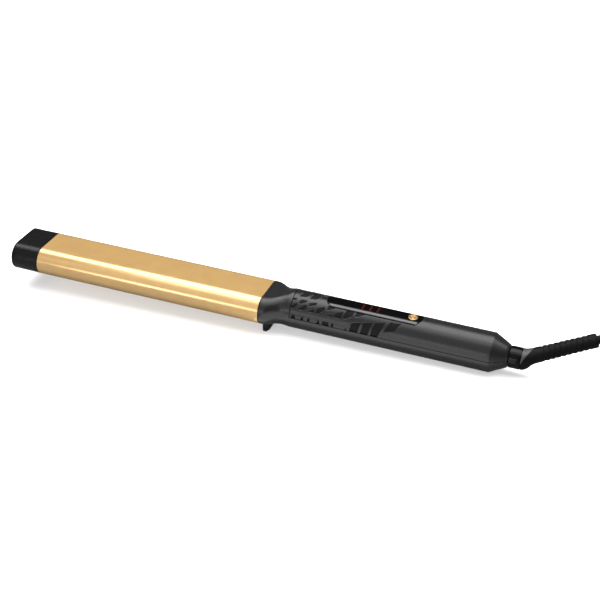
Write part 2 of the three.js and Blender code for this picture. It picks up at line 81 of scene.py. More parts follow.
def row_box(node):
    """Lowest and highest corner, middle and half size of a CAD node, in the row frame."""
    low, high = cad_box(node, ROW)
    return low, high, (low + high) / 2, (high - low) / 2


# ---- driving dimensions, wand frame ----

TIP_END = cad_box("cool_tip")[0].x
BARREL_END = cad_box("barrel")[1].x
NECK_START = cad_box("handle_body")[0].x
NECK_BEGINS_TO_ROUND, NECK_ROUND = 162.0, 178.0
COVER_START = cad_box("handle_cover")[0].x
CONE_START, CONE_END = 309.0, cad_box("handle_cover")[1].x
FLAT, END, HEIGHT = 9.6, 9.36, 9.52  # the oval: half flat, half axis of its ends, half height
BARREL_WALL, NECK_WALL, HANDLE_WALL = 1.2, 2.0, 2.2
HANDLE_R, CONE_END_R, TAIL_BORE_R = 12.7, 7.15, 5.0
PITCH_SLOPE = -wand_x.z / wand_x.x

# ---- meshes ----


def full_turn(count):
    return [2 * math.pi * j / count for j in range(count)]


def quarter_turn(count, first=0):
    return [math.pi / 2 * i / count for i in range(first, count + 1)]


def skin(rings, closed=False):
    """Points and faces over rings of points: a tube that closes on itself, or one with flat ends."""
    count = len(rings[0])
    points = [p for ring in rings for p in ring]
    faces = []
    for i in range(len(rings) if closed else len(rings) - 1):
        here, there = i * count, (i + 1) % len(rings) * count
        for j in range(count):
            k = (j + 1) % count
            faces.append((here + j, here + k, there + k, there + j))
    if not closed:
        faces.append(tuple(reversed(range(count))))
        faces.append(tuple(range(len(points) - count, len(points))))
    return points, faces


def wall(outer, inner):
    """Points and faces of a shell between two grids of points of the same size."""
    rows, columns = len(outer), len(outer[0])
    points = [p for grid in (outer, inner) for row in grid for p in row]
    faces = []
    for i in range(rows - 1):
        for j in range(columns - 1):
            a = i * columns + j
            around = (a, a + 1, a + columns + 1, a + columns)
            faces.append(around)
            faces.append(tuple(rows * columns + n for n in reversed(around)))
    rim = [(0, j) for j in range(columns)] + [(i, columns - 1) for i in range(1, rows)]
    rim += [(rows - 1, j) for j in range(columns - 2, -1, -1)] + [(i, 0) for i in range(rows - 2, 0, -1)]
    rim = [i * columns + j for i, j in rim]
    for n, m in zip(rim, rim[1:] + rim[:1]):
        faces.append((m, n, rows * columns + n, rows * columns + m))
    return points, faces


def turned(profile, segments=64):
    """Rings about X through (radius, x) points; the profile runs round its solid."""
    turn = full_turn(segments)
    return [[(x, r * math.cos(a), r * math.sin(a)) for a in turn] for r, x in profile]


def rounded(profile, radius, steps=4):
    """The closed profile with each corner rounded to about the radius."""
    out = []
    for i, corner in enumerate(profile):
        here = Vector(corner)
        before, after = Vector(profile[i - 1]) - here, Vector(profile[(i + 1) % len(profile)]) - here
        reach = min(radius, before.length * 0.45, after.length * 0.45)
        a, b = here + before.normalized() * reach, here + after.normalized() * reach
        for n in range(steps + 1):
            t = n / steps
            out.append(tuple(a * (1 - t) ** 2 + here * 2 * t * (1 - t) + b * t * t))
    return out


def clamp(t):
    return min(max(t, 0.0), 1.0)


def smooth(t):
    t = clamp(t)
    return t * t * (3 - 2 * t)


def direction(yaw, rise):
    """The unit vector at degrees about Z and degrees over the horizontal."""
    yaw, rise = math.radians(yaw), math.radians(rise)
    return Vector((math.cos(rise) * math.cos(yaw), math.cos(rise) * math.sin(yaw), math.sin(rise)))


def show(obj):
    bpy.context.scene.collection.objects.link(obj)
    return obj


def mesh_object(name, shape, place=WAND, creases=35):
    """An object from points and faces. Edges sharper than the creases angle stay crisp."""
    points, faces = shape
    mesh = bpy.data.meshes.new(name)
    mesh.from_pydata([place @ Vector(p) for p in points], [], faces)
    obj = show(bpy.data.objects.new(name, mesh))
    tidy_mesh(obj, creases)
    return obj


def tidy_mesh(obj, creases=35):
    edit = bmesh.new()
    edit.from_mesh(obj.data)
    bmesh.ops.recalc_face_normals(edit, faces=edit.faces)
    edit.to_mesh(obj.data)
    edit.free()
    obj.data.shade_smooth()
    obj.data.set_sharp_from_angle(angle=math.radians(creases))


def apply_modifiers(obj):
    bpy.context.view_layer.update()
    shown = obj.evaluated_get(bpy.context.evaluated_depsgraph_get())
    mesh = bpy.data.meshes.new_from_object(shown)
    obj.modifiers.clear()
    old, obj.data = obj.data, mesh
    bpy.data.meshes.remove(old)
    mesh.name = obj.name


def combine(obj, tool, operation):
    """Joins, cuts or intersects obj with tool, which is used up."""
    modifier = obj.modifiers.new(operation.lower(), "BOOLEAN")
    modifier.operation = operation
    modifier.solver = "MANIFOLD"
    modifier.object = tool
    apply_modifiers(obj)
    bpy.data.objects.remove(tool)
    return obj


def cut(obj, shape):
    return combine(obj, mesh_object("tool", shape), "DIFFERENCE")


def keep_inside(obj, shape):
    return combine(obj, mesh_object("tool", shape), "INTERSECT")


def bevelled(obj, width, segments=3):
    """Rounds the edges that are sharper than 30 degrees."""
    modifier = obj.modifiers.new("bevel", "BEVEL")
    modifier.width = width * MM
    modifier.segments = segments
    modifier.limit_method = "ANGLE"
    modifier.angle_limit = math.radians(30)
    apply_modifiers(obj)
    tidy_mesh(obj, 40)
    return obj


def paint(obj, slot):
    obj.data.materials.clear()
    obj.data.materials.append(finishes[slot])


def finish_piece(obj, slot, body="wand", replaces=()):
    paint(obj, slot)
    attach(obj, body)
    if replaces:
        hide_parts(*replaces)
    return obj


def box_shape(low, high):
    (x0, y0, z0), (x1, y1, z1) = low, high
    return skin([[(x, y0, z0), (x, y1, z0), (x, y1, z1), (x, y0, z1)] for x in (x0, x1)])


def mirrored(half):
    return half + [(x, -y) for x, y in reversed(half)]


def prism(outline, z0, z1):
    """A plan outline raised from z0 to z1."""
    return skin([[(x, y, z) for x, y in outline] for z in (z0, z1)])


def level_ring(x, z, r, segments):
    """A ring about an upright line in the wand's middle plane."""
    return [(x + r * math.cos(a), r * math.sin(a), z) for a in full_turn(segments)]


def post(x, z0, z1, r, segments=32):
    return skin([level_ring(x, z, r, segments) for z in (z0, z1)])


# ---- camera, at the angle that the object is looked at from ----

VIEW_YAW, VIEW_RISE, VIEW_ROLL, VIEW_DISTANCE = 19.78 - 90, 30.87, 0.604, 0.8017
VIEW_CENTRE = Vector((0.0190, 0.0175, 0.012))
LENS, SENSOR = 72.863, 36.0


def add_camera():
    data = bpy.data.cameras.new("camera")
    data.lens, data.sensor_width = LENS, SENSOR
    data.clip_start, data.clip_end = 0.01, 20.0
    camera = bpy.data.objects.new("camera", data)
    back = direction(VIEW_YAW, VIEW_RISE)
    roll = Matrix.Rotation(math.radians(VIEW_ROLL), 4, "Z")
    turn = back.to_track_quat("Z", "Y").to_matrix().to_4x4() @ roll
    camera.matrix_world = Matrix.Translation(VIEW_CENTRE + back * VIEW_DISTANCE) @ turn
    bpy.context.scene.camera = show(camera)


add_camera()

# ---- the cord's line, in the row frame, in millimetres ----

CORD_D = 5.6
CORD_ROUTE = [
    (212.3, 15.2, 26.4), (219.5, 17.8, 28.5), (227, 20.2, 29.4), (235, 22.4, 28.4),
    (243, 24, 25.2), (250, 25, 21), (257, 25.6, 16), (264, 25.9, 11.2),
]
LANDING = [(271, 26, 7.3), (279, 26, 4.5)]
PLUG_ROUTE = [
    (364, -13.2, 21.6), (356, -13.2, 21.6), (348, -12.65, 21.7), (342, -11.2, 21.95), (336, -9.15, 22.5),
    (330, -6.8, 23.2), (324, -4.45, 23.9), (318, -2.4, 24.5), (312, -0.95, 24.75), (306.8, -0.4, 24.8),
]
hank_low, hank_high = cad_box("cord_hank", ROW)
HANK_MID_Y = (hank_low.y + hank_high.y) / 2
OUTER_TURN = (hank_high.y - hank_low.y - CORD_D) / 2
INNER_TURN = OUTER_TURN - CORD_D
HANK_NEAR = hank_low.x + OUTER_TURN + CORD_D / 2
HANK_FAR = hank_high.x - OUTER_TURN - CORD_D / 2
LAYERS = [hank_low.z + CORD_D * (n + 0.5) for n in range(3)]
UPPER_SHIFT = 8.0  # upper layers turn back this much sooner at the near fold
# Each turn's place in the bundle: radius of its folds, height, shift of its near fold.
TURNS = [
    (OUTER_TURN, LAYERS[0], 0.0), (INNER_TURN, LAYERS[0], 0.0),
    (INNER_TURN, LAYERS[1], UPPER_SHIFT), (OUTER_TURN, LAYERS[1], UPPER_SHIFT),
    (OUTER_TURN, LAYERS[2], UPPER_SHIFT), (INNER_TURN, LAYERS[2], UPPER_SHIFT),
]
# Where along the near run the turns change places.
CHANGE_START, CHANGE_LAG, CHANGE_LENGTH = 17.0, 12.0, 36.0
LEGS = ("out", "far fold", "back", "near fold")
POINTS_A_LEG = 14


def eased(t):
    t = clamp(t)
    return t * t * t * (t * (6 * t - 15) + 10)


def place_of_turn(turn, travelled):
    """A turn's place after some distance on its way back. A higher turn moves first, to free its place."""
    if turn + 1 == len(TURNS):
        return TURNS[turn]
    start = CHANGE_START + CHANGE_LAG * (len(TURNS) - 2 - turn)
    t = eased((travelled - start) / CHANGE_LENGTH)
    return tuple(a + (b - a) * t for a, b in zip(TURNS[turn], TURNS[turn + 1]))


def hank_line():
    """The tied turns: out on the far side, round the far fold, back on the near side, round again."""
    run, last = HANK_FAR - HANK_NEAR, len(TURNS) - 1
    points = []
    for turn in range(len(TURNS)):
        # the last turn ends after its far fold, where the plug's lead goes on
        for leg in LEGS[:2] if turn == last else LEGS:
            for step in range(POINTS_A_LEG):
                t = step / POINTS_A_LEG
                fold = math.pi * INNER_TURN * t
                travelled = {"back": run * t, "near fold": run + fold}.get(leg, -1)
                radius, z, shift = place_of_turn(turn, travelled)
                side, ends = 1, (HANK_NEAR + shift, HANK_FAR)
                if leg in LEGS[2:]:
                    side, ends = -1, ends[::-1]
                if leg in ("out", "back"):
                    x, y = ends[0] + (ends[1] - ends[0]) * t, HANK_MID_Y + side * radius
                else:
                    x = ends[1] + side * radius * math.sin(math.pi * t)
                    y = HANK_MID_Y + side * radius * math.cos(math.pi * t)
                if turn == last and leg == "far fold":
                    z += (PLUG_ROUTE[0][2] - z) * eased(t)
                points.append((x, y, z))
    return points[1:]  # the landing leads in past the first point


def through(points, step):
    """A smooth line through the points, with points of its own about step apart."""
    p = [np.array(q, float) for q in points]
    p = [2 * p[0] - p[1], *p, 2 * p[-1] - p[-2]]
    line, pieces = [], 12
    for four in zip(p, p[1:], p[2:], p[3:]):
        p0, p1, p2, p3 = four
        spans = [math.sqrt(np.linalg.norm(b - a)) for a, b in zip(four, four[1:])]
        t0, t1, t2, t3 = np.cumsum([0.0, *spans])
        for n in range(pieces):
            t = t1 + (t2 - t1) * n / pieces
            a1, a2, a3 = lerp(p0, p1, t0, t1, t), lerp(p1, p2, t1, t2, t), lerp(p2, p3, t2, t3, t)
            line.append(lerp(lerp(a1, a2, t0, t2, t), lerp(a2, a3, t1, t3, t), t1, t2, t))
    line = np.array([*line, p[-2]])
    along = np.concatenate([[0], np.cumsum(np.linalg.norm(np.diff(line, axis=0), axis=1))])
    at = np.linspace(0, along[-1], round(along[-1] / step) + 1)
    return np.stack([np.interp(at, along, line[:, k]) for k in range(3)], axis=1)


def lerp(a, b, start, end, t):
    return a + (b - a) * (t - start) / (end - start)


def tube(line, radius, sides=18):
    """Rings along a line, each turned as little as can be from the last."""
    line = np.array(line)
    heading = np.gradient(line, axis=0)
    heading /= np.linalg.norm(heading, axis=1)[:, None]
    across = np.cross(heading[0], (0, 0, 1.0))
    rings = []
    for point, ahead in zip(line, heading):
        across = across - ahead * (across @ ahead)
        across /= np.linalg.norm(across)
        up = np.cross(across, ahead)
        ring = [across * math.cos(a) + up * math.sin(a) for a in full_turn(sides)]
        rings.append([tuple(point + radius * spoke) for spoke in ring])
    return skin(rings)


# ---- finishes ----


def set_inputs(node, values):
    for name, value in values.items():
        node.inputs[name].default_value = value


class Finish:
    """A procedural material. Lengths are in millimetres."""

    def __init__(self, slot, colour, roughness, metallic=0.0, specular=0.5, ior=1.5):
        self.material = bpy.data.materials.new(slot)
        self.material.use_nodes = True
        self.colour, self.roughness = colour, roughness
        self.nodes, self.links = self.material.node_tree.nodes, self.material.node_tree.links
        self.shader = self.nodes["Principled BSDF"]
        set_inputs(self.shader, {
            "Base Color": (*colour, 1), "Roughness": roughness, "Metallic": metallic,
            "Specular IOR Level": specular, "IOR": ior,
        })
        self.place = self.nodes.new("ShaderNodeTexCoord").outputs["Object"]
        finishes[slot] = self.material

    def pattern(self, size, stretch=(1, 1, 1), detail=3.0, kind="ShaderNodeTexNoise"):
        """A noise or cell pattern whose features are about size across, drawn out by stretch."""
        mapping = self.nodes.new("ShaderNodeMapping")
        set_inputs(mapping, {"Scale": tuple(1 / s for s in stretch)})
        self.links.new(self.place, mapping.inputs["Vector"])
        texture = self.nodes.new(kind)
        set_inputs(texture, {"Scale": 1 / (size * MM), "Detail": detail})
        self.links.new(mapping.outputs["Vector"], texture.inputs["Vector"])
        return texture.outputs[0]

    def ramp(self, value, low, high):
        """The middle of a pattern's range, spread from low to high."""
        spread = self.nodes.new("ShaderNodeMapRange")
        set_inputs(spread, {"From Min": 0.35, "From Max": 0.65, "To Min": low, "To Max": high})
        self.links.new(value, spread.inputs["Value"])
        return spread.outputs["Result"]

    def mix(self, factor, first, second):
        """A blend of two colours or colour sockets."""
        blend = self.nodes.new("ShaderNodeMix")
        blend.data_type = "RGBA"  # whose colours go in at sockets 6 and 7 and come out at 2
        self.links.new(factor, blend.inputs["Factor"])
        for socket, colour in ((blend.inputs[6], first), (blend.inputs[7], second)):
            if isinstance(colour, tuple):
                socket.default_value = (*colour, 1)
            else:
                self.links.new(colour, socket)
        return blend.outputs[2]

    def mottled(self, size, spread, stretch=(1, 1, 1)):
        """Colour that wanders a little about the base colour."""
        dark = tuple(c * (1 - spread) for c in self.colour)
        light = tuple(min(c * (1 + spread), 1) for c in self.colour)
        factor = self.ramp(self.pattern(size, stretch), 0, 1)
        self.links.new(self.mix(factor, dark, light), self.shader.inputs["Base Color"])
        return self

    def uneven(self, size, spread):
        """Gloss that wanders about the roughness."""
        rough = self.ramp(self.pattern(size), self.roughness - spread, self.roughness + spread)
        self.links.new(rough, self.shader.inputs["Roughness"])
        return self

    def grained(self, size, height, stretch=(1, 1, 1), **texture):
        """Relief of that height."""
        bump = self.nodes.new("ShaderNodeBump")
        set_inputs(bump, {"Strength": 1.0, "Distance": height * MM})
        self.links.new(self.pattern(size, stretch, **texture), bump.inputs["Height"])
        self.links.new(bump.outputs["Normal"], self.shader.inputs["Normal"])
        return self

    def second(self, attribute, colour, roughness, specular):
        """Another colour, roughness and specular level where the mesh attribute is 1."""
        mask = self.nodes.new("ShaderNodeAttribute")
        mask.attribute_name = attribute
        others = {
            "Base Color": colour, "Roughness": (roughness,) * 3, "Specular IOR Level": (specular,) * 3,
        }
        for name, value in others.items():
            socket = self.shader.inputs[name]
            first = socket.links[0].from_socket if socket.links else (socket.default_value,) * 3
            self.links.new(self.mix(mask.outputs["Fac"], first, value), socket)
        return self


CELLULAR = {"kind": "ShaderNodeTexVoronoi", "detail": 0.0}

finishes = {}
Finish("barrel_gold", (0.73, 0.455, 0.17), 0.21, 0.5, ior=2.1) \
    .mottled(9, 0.03).uneven(14, 0.03).grained(0.35, 0.0005, (30, 1, 1))
Finish("button_gold", (0.86, 0.55, 0.24), 0.30, 1.0) \
    .mottled(2, 0.04).uneven(1, 0.05).grained(0.1, 0.001)
Finish("tip_black", (0.0017, 0.0017, 0.002), 0.31, specular=0.27) \
    .mottled(3, 0.12).uneven(2, 0.04).grained(0.22, 0.004)
Finish("shell_grey", (0.009, 0.009, 0.0093), 0.30, specular=0.38) \
    .mottled(4, 0.08).uneven(3, 0.03).grained(0.30, 0.006) \
    .second("recess", (0.0056, 0.0056, 0.0058), 0.60, 0.10)
Finish("panel_black", (0.0012, 0.0012, 0.0014), 0.10, specular=0.08) \
    .mottled(5, 0.2).uneven(12, 0.03)
# The trims' metal grey is partly a painted reflection. It stands in for the light that the panel's glossy black
# bevel catches along its long edges, and the lamps add their own reflection.
Finish("trim_silver", (0.062, 0.062, 0.064), 0.32, 0.6) \
    .mottled(2, 0.03).uneven(2, 0.05).grained(0.12, 0.0008, (20, 1, 1))
Finish("indicator_red", (0.055, 0.0035, 0.0035), 0.28, specular=0.1) \
    .mottled(0.8, 0.15).uneven(0.6, 0.06)
Finish("swivel_black", (0.0008, 0.0008, 0.001), 0.17, specular=0.16) \
    .mottled(2, 0.2).uneven(4, 0.04).grained(0.3, 0.0015)
# The elbow's grey is a painted highlight. It stands in for the light that the dark swivel catches between the
# collar and the boot.
Finish("elbow_grey", (0.045, 0.045, 0.046), 0.42, specular=0.4) \
    .mottled(2, 0.08).uneven(2, 0.04).grained(0.3, 0.003)
Finish("cord_rubber", (0.0025, 0.0025, 0.0028), 0.55, specular=0.12) \
    .mottled(3, 0.2).uneven(4, 0.06).grained(0.5, 0.012)
Finish("plug_plastic", (0.008, 0.008, 0.0085), 0.46, specular=0.4) \
    .mottled(3, 0.15).uneven(3, 0.05).grained(0.35, 0.010, **CELLULAR)
Finish("pin_metal", (0.62, 0.61, 0.58), 0.22, 1.0) \
    .mottled(2, 0.03).uneven(1.5, 0.06).grained(0.1, 0.0008, (12, 1, 1))
Finish("steel", (0.50, 0.50, 0.51), 0.34, 1.0) \
    .mottled(2, 0.05).uneven(1.5, 0.07).grained(0.15, 0.001, (15, 1, 1))
Finish("brass_contact", (0.62, 0.44, 0.16), 0.30, 1.0) \
    .mottled(1, 0.05).uneven(1, 0.06).grained(0.1, 0.001)
Finish("aluminium", (0.62, 0.63, 0.65), 0.38, 1.0) \
    .mottled(4, 0.04).uneven(3, 0.06).grained(0.2, 0.002, (25, 1, 1))
Finish("ceramic", (0.74, 0.70, 0.62), 0.55) \
    .mottled(1.5, 0.06).uneven(1, 0.06).grained(0.25, 0.004)
Finish("board_green", (0.012, 0.085, 0.030), 0.35) \
    .mottled(1.8, 0.35, (4, 1, 1)).uneven(2, 0.08).grained(0.8, 0.03, (6, 1, 1), **CELLULAR)
Finish("component", (0.015, 0.015, 0.016), 0.55) \
    .mottled(1, 0.2).uneven(1, 0.08).grained(0.2, 0.006)
Finish("insulator", (0.13, 0.08, 0.045), 0.60) \
    .mottled(2, 0.2, (3, 1, 1)).uneven(1, 0.08).grained(0.3, 0.01)
Finish("wire_sleeve", (0.32, 0.020, 0.015), 0.50) \
    .mottled(2, 0.1).uneven(1, 0.06).grained(0.3, 0.004)

# ---- the cord ----

OUTLET = direction(20, 19)
BALL = Vector((ELBOW_X, 0, 0))  # the elbow's centre
RELIEF_START, RELIEF_END = 9.0, 47.0  # from the ball's centre
RELIEF_START_R, RELIEF_END_R = 4.95, 4.55
SOCKET_DEPTH, SOCKET_CLEARANCE = 1.4, 0.2  # the cord stands this deep in the relief's end
CORD_STEP = 4.0
cord_start = WAND @ (BALL + OUTLET * (RELIEF_END - SOCKET_DEPTH + SOCKET_CLEARANCE))


def build_cord():
    route = [tuple(ROW.inverted() @ cord_start), *CORD_ROUTE, *LANDING, *hank_line(), *PLUG_ROUTE]
    line = through(route, CORD_STEP)
    cord = mesh_object("mains_cord", tube(line, CORD_D / 2), ROW, creases=60)
    paint(cord, "cord_rubber")
    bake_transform(cord)
    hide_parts("power_cord", "cord_hank", "plug_lead")
    return cord, [tuple(p * MM) for p in line]


# ---- barrel end ----


def oval(x, flat=FLAT, end=END, height=HEIGHT, inset=0.0, arcs=30, flats=8):
    """The oval section at x, drawn in all round by inset."""
    ring = []
    for side in (1, -1):
        for i in range(arcs + 1):
            angle = side * math.pi * (i / arcs - 0.5)
            y = side * (flat + (end - inset) * math.cos(angle))
            ring.append((x, y, (height - inset) * math.sin(angle)))
        for i in range(1, flats):
            ring.append((x, side * flat * (1 - 2 * i / flats), side * (height - inset)))
    return ring


def build_tip():
    edge, front_wall, shoulder, spigot_end = 0.45, 2.4, -GAP / 2, 6
    spigot, hollow = BARREL_WALL + GAP, BARREL_WALL + 2
    rings = [oval(TIP_END, inset=edge + 0.02)]
    for a in quarter_turn(6, first=1):
        rings.append(oval(TIP_END + edge * (1 - math.cos(a)), inset=edge * (1 - math.sin(a))))
    rings += [oval(x) for x in (-14, -10, -6, -2, shoulder - 0.25)]
    rings += [oval(shoulder, inset=0.2), oval(shoulder, inset=spigot), oval(spigot_end, inset=spigot)]
    rings += [oval(spigot_end, inset=hollow), oval(TIP_END + front_wall, inset=hollow)]
    return finish_piece(mesh_object("cool_tip_cap", skin(rings)), "tip_black", replaces=["cool_tip"])


def build_barrel():
    start, edge, spans = GAP / 2, 0.12, 16
    outer = [oval(start, inset=edge), oval(start + edge)]
    outer += [oval(start + edge + (BARREL_END - edge - start) * i / spans) for i in range(1, spans)]
    outer += [oval(BARREL_END - edge), oval(BARREL_END, inset=edge)]
    inner = [oval(x, inset=BARREL_WALL) for x in (BARREL_END, start)]
    barrel = mesh_object("barrel_tube", skin(outer + inner, closed=True))
    return finish_piece(barrel, "barrel_gold", replaces=["barrel"])


# ---- grip pattern: recessed cells between ribs ----

SEAM_BAND, SEAM_BAND_RAMP = 12.5, 1.5  # degrees; below the band's angle the cells are deepest
SHALLOW, DEEP = 0.45, 0.75
PATTERN_END = 252.0
# Corners of each cell as (x, angle).
CELLS = [
    # over the top, in front of the panel
    [(183.6, 73), (187.2, 74.5), (188.8, 84), (188.4, 90), (184.6, 90), (183.4, 80)],
    [(190.6, 72), (194, 73.5), (195.7, 83), (195.5, 90), (191.4, 90), (190.4, 80)],
    [(197, 81), (200, 83), (200.6, 90), (197.6, 90)],
    # upper row
    [(179.9, 54.5), (182, 58), (182, 62), (180, 61)],
    [(184.3, 48), (186, 49), (188.6, 56), (189, 62), (185.2, 60.5)],
    [(191, 45), (195.4, 54), (195.6, 61), (191.3, 55)],
    [(203.2, 46), (207.8, 55), (208, 59.5), (203.6, 59.5)],
    [(222, 45), (224.2, 48), (228, 59.5), (222.4, 59.5)],
    # middle row
    [(179.9, 30), (181.3, 30.5), (183, 40), (183, 48), (180, 38)],
    [(185.2, 30), (187.8, 30), (189.4, 37), (189.7, 47), (188.6, 47), (185, 35)],
    [(191.3, 30), (195, 30), (195, 37), (194.5, 41), (191.6, 33)],
    [(196.7, 30), (198.4, 30), (201.3, 42), (201.6, 54), (197, 45)],
    [(203, 30), (206.8, 30), (206.5, 38), (203.4, 32)],
    [(208.5, 30), (213, 30), (213.9, 51), (210.4, 46), (208.7, 38)],
    [(214.8, 32), (216.6, 33.5), (219.9, 44), (220.6, 58.5), (216, 57), (214.8, 42)],
    # along the seam
    [(180.6, -3), (183.9, -3), (183.3, 7), (183.2, 12), (181.3, 12), (180.9, 7)],
    [(187, -3), (189.1, -3), (188.7, 12), (187.8, 12)],
    [(190.6, -3), (194.1, -3), (193.4, 6), (194, 12), (190.9, 12), (191.5, 6)],
    [(197.5, -3), (199.9, -3), (199.5, 12), (198.8, 12)],
    [(201.9, -3), (206, -3), (205.8, 12), (201.9, 12)],
    [(207.9, -3), (208.9, -3), (209.1, 12), (207.9, 12)],
    [(216.7, -3), (217.9, -3), (217.4, 9)],
    # long bars at the rear
    [(219.8, -3), (224.8, -3), (226.3, 33), (220.7, 26)],
    [(227, -3), (231.5, -3), (233.7, 40.5), (228.3, 34)],
    [(233.7, -3), (237.7, -3), (241.7, 47), (235.9, 42), (234.2, 25)],
    [(241.4, 20), (248, 27), (251.3, 53), (245.2, 51.5)],
]


def cell_depth(x, angle):
    """The grip pattern at arrays of x and angle: 1 in a cell and 0 on a rib, and its depth."""
    ramp, corner = 0.45, 0.35  # width of a cell's sloping side, and reach of its rounded corners
    arc = np.radians(angle) * HANDLE_R
    mask = np.zeros_like(x)
    for cell in CELLS:
        corners = np.array([(a, math.radians(b) * HANDLE_R) for a, b in cell])
        following = np.roll(corners, -1, axis=0)
        edge = following - corners
        edge /= np.linalg.norm(edge, axis=1)[:, None]
        turn = np.sign(np.cross(corners[1] - corners[0], corners[2] - corners[1]))
        inside = np.full_like(x, 1e3)
        for (a, b), (dx, dy) in zip(corners, edge):
            distance = turn * (dx * (arc - b) - dy * (x - a))
            # a soft minimum rounds the corners
            low, gap = np.minimum(inside, distance), np.abs(inside - distance)
            inside = low - np.clip(corner - gap, 0, None) ** 2 / (4 * corner)
        t = np.clip((inside + ramp / 2) / ramp, 0, 1)
        mask = np.maximum(mask, t * t * (3 - 2 * t))
    in_band = np.clip((SEAM_BAND - angle) / SEAM_BAND_RAMP + 0.5, 0, 1)
    return mask, mask * (SHALLOW + (DEEP - SHALLOW) * in_band)


# ---- handle ----


def stations(*spans):
    """Numbers from (start, end, step) spans, without repeats."""
    found = []
    for start, end, step in spans:
        count = max(1, round((end - start) / step))
        found += [start + (end - start) * i / count for i in range(count)]
    return [*found, spans[-1][1]]


CHAMFER, CHAMFER_SLOPE = 0.7, 0.6  # where the cone ends
BORE_NARROWS, BORE_TAPER = 305, 3


def tail_radius(x):
    """Outer radius of the handle."""
    if x <= CONE_START:
        return HANDLE_R
    r = HANDLE_R + (CONE_END_R - HANDLE_R) * (x - CONE_START) / (CONE_END - CONE_START)
    return r - max(0.0, x - (CONE_END - CHAMFER)) * CHAMFER_SLOPE


def bore_radius(x):
    inner = HANDLE_R - HANDLE_WALL
    return inner + (TAIL_BORE_R - inner) * clamp((x - BORE_NARROWS) / BORE_TAPER)


def half_shell(start, end, upper):
    """One half of the handle as grids, outside and inside, with eased edges, and its cells' mask."""
    edge, edge_drop = 0.16, 0.12
    seam = math.degrees(math.asin(GAP / 2 / HANDLE_R))
    if upper:
        front = [(start, start + edge, edge), (start + edge, PATTERN_END, 0.3)]
    else:
        front = [(start, PATTERN_END, 4)]
    before, after, chamfer = CONE_START - 0.1, CONE_START + 0.3, 318.8
    xs = np.array(stations(
        *front, (PATTERN_END, before, 4), (before, after, 0.2), (after, chamfer, 1.6), (chamfer, end, 0.35),
    ))
    if upper:
        angles = stations((seam, 2.0, 0.45), (2.0, 92, 1.35), (92, 180 - seam, 1.35))
    else:
        angles = stations((-180 + seam, -176, 0.8), (-176, -4, 4), (-4, -seam, 0.8))
    angles = np.array(angles)
    x, angle = np.meshgrid(xs, angles, indexing="ij")
    near = np.where(angle > 90, 180 - angle, angle)
    mask, sunk = cell_depth(x, near) if upper else np.zeros((2, *x.shape))
    # the cells end before the seam edge and the front edge, so that both stay whole
    from_seam = np.radians(np.minimum(np.abs(near), np.abs(180 + near))) * HANDLE_R - GAP / 2
    r = np.vectorize(tail_radius)(x) - sunk
    r -= edge_drop * np.clip(1 - from_seam / edge, 0, 1) ** 2
    if upper:
        r -= edge_drop * np.clip(1 - (x - start) / edge, 0, 1) ** 2
    bore = np.vectorize(bore_radius)(x)
    grids = []
    for radius in (r, bore):
        y, z = -radius * np.cos(np.radians(angle)), radius * np.sin(np.radians(angle))
        side = GAP / 2 if upper else -GAP / 2
        z = np.where(np.abs(z) < GAP / 2, side, z)
        grids.append(np.stack([x, y, z], axis=-1))
    return grids, mask


SCREWS_X = {"case_screw_front": 190.0, "case_screw_rear": 277.0}
SCREW_HEAD_R, SCREW_HEAD_LOW, SCREW_HEAD_TOP, SCREW_HOLE_R = 2.55, -12.1, -10.7, 1.45
# Posts for the screws: lower end, upper end, radius.
UPPER_BOSS, UPPER_HOLE = (-7.7, 10.9, 2.8), (-9, -0.5, SCREW_HOLE_R)
LOWER_BOSS, LOWER_HOLE = (-11.8, -8, 3.6), (-14, -7, SCREW_HOLE_R)
COUNTERBORE = (-14, SCREW_HEAD_TOP + GAP, SCREW_HEAD_R + GAP)

PANEL_FRONT, PANEL_REAR, PANEL_HALF, PANEL_TOP = 201.2, 263.2, 6.4, 12.1
PANEL_R, PANEL_INNER_R = 12.65, 10.6
THROUGH_TOP = (6, 16)  # heights that reach right through the top of the handle


def panel_plan(grow):
    """The panel's outline in x and y, with its corners rounded."""
    front, rear, w = PANEL_FRONT, PANEL_REAR, PANEL_HALF + grow
    half = [
        (front - grow, -2), (front + 0.9 - grow, -3.9 - grow), (front + 3.9 - grow / 2, -w),
        (rear - 3.0, -w), (rear - 1.0 + grow, -4.2), (rear + grow, -2),
    ]
    return rounded(mirrored(half), 0.9, 5)


COVER_CREASES = 48  # degrees, so that the sloping sides of the cells stay smooth


def build_cover():
    (outer, inner), mask = half_shell(COVER_START, CONE_END, upper=True)
    cover = mesh_object("handle_upper_shell", wall(outer.tolist(), inner.tolist()), creases=COVER_CREASES)
    recess = cover.data.attributes.new("recess", "FLOAT", "POINT")
    outside_then_inside = np.concatenate([mask.ravel(), np.zeros(mask.size)])
    recess.data.foreach_set("value", outside_then_inside.astype(np.float32))
    cut(cover, prism(panel_plan(GAP), *THROUGH_TOP))
    for x in SCREWS_X.values():
        combine(cover, mesh_object("boss", post(x, *UPPER_BOSS)), "UNION")
        cut(cover, post(x, *UPPER_HOLE))
    cover.data.set_sharp_from_angle(angle=math.radians(COVER_CREASES))
    return finish_piece(cover, "shell_grey", replaces=["handle_cover"])


def neck_ring(x, wall_thickness):
    """The barrel's oval, drawn in to the round of the handle."""
    t = clamp((x - NECK_BEGINS_TO_ROUND) / (NECK_ROUND - NECK_BEGINS_TO_ROUND))
    flat = max(FLAT * (1 - smooth(t)), 0.05)
    end = END + (HANDLE_R - END) * smooth(t * t)
    height = HEIGHT + (HANDLE_R - HEIGHT) * smooth(t * t)
    return oval(x, flat, end, height, inset=wall_thickness, arcs=44, flats=12)


